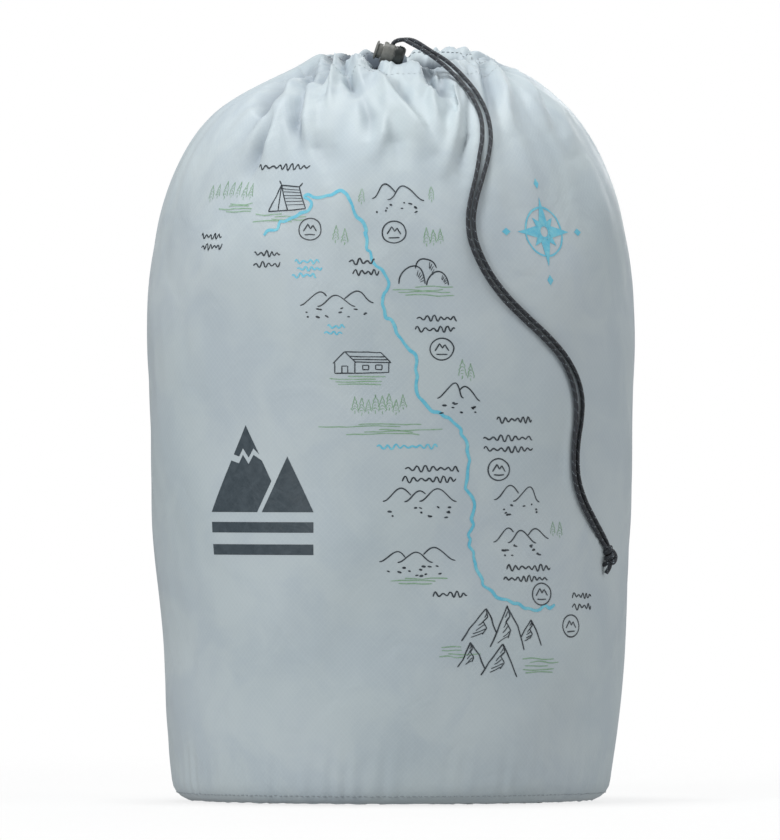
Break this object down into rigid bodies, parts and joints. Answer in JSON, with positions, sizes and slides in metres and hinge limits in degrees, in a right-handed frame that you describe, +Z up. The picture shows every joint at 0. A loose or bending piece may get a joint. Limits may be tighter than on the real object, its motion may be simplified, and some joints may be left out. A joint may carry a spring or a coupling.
{
  "type": "drawcord stuff sack",
  "caption": "Round-based cloth stuff sack standing full, its gathered mouth held shut by a drawcord with a push-button cord lock and a knotted pair of tails.",
  "frame": {"origin": "centre of the round base, on the surface that the sack stands on", "axes": "+Z up towards the mouth, -Y towards the front with the cord lock and tails, +X to the right seen from the front"},
  "size_m": [0.243, 0.243, 0.3806],
  "materials": {
    "sack_fabric": "light grey coated ripstop, smooth with a slight sheen",
    "base_fabric": "light grey coated ripstop",
    "seam_tape": "grey woven binding tape",
    "label": "blank white woven label",
    "thread": "grey polyester sewing thread",
    "cord": "dark slate braided cord with light flecks",
    "lock_barrel": "dark grey moulded plastic",
    "lock_button": "grey moulded plastic",
    "spring_steel": "bright spring wire"
  },
  "bodies": {
    "sack": {"body_panel": "sack_fabric", "base_panel": "base_fabric", "base_seam_binding": "seam_tape", "back_seam_tape": "seam_tape", "care_label": "label", "drawcord_channel": "sack_fabric", "channel_bartack_right": "thread", "channel_bartack_left": "thread", "drawcord_loop": "cord", "cord_tail_front": "cord", "cord_tail_rear": "cord", "cord_knot": "cord", "cord_end_left": "cord", "cord_end_right": "cord"},
    "cord_lock": {"cord_lock_barrel": "lock_barrel", "cord_lock_spring": "spring_steel"},
    "plunger": {"cord_lock_plunger": "lock_button"}
  },
  "joints": [
    {"name": "cord_lock_slide", "type": "slide", "parent": "sack", "child": "cord_lock", "axis": [0.309, 0, 0.9511], "range_m": [-0.005, 0]},
    {"name": "plunger_press", "type": "slide", "parent": "cord_lock", "child": "plunger", "axis": [0.9511, 0, -0.309], "range_m": [0, 0.0024], "stiffness_N_per_m": 900, "springref_m": -0.004, "deforming": ["cord_lock_spring"]}
  ]
}
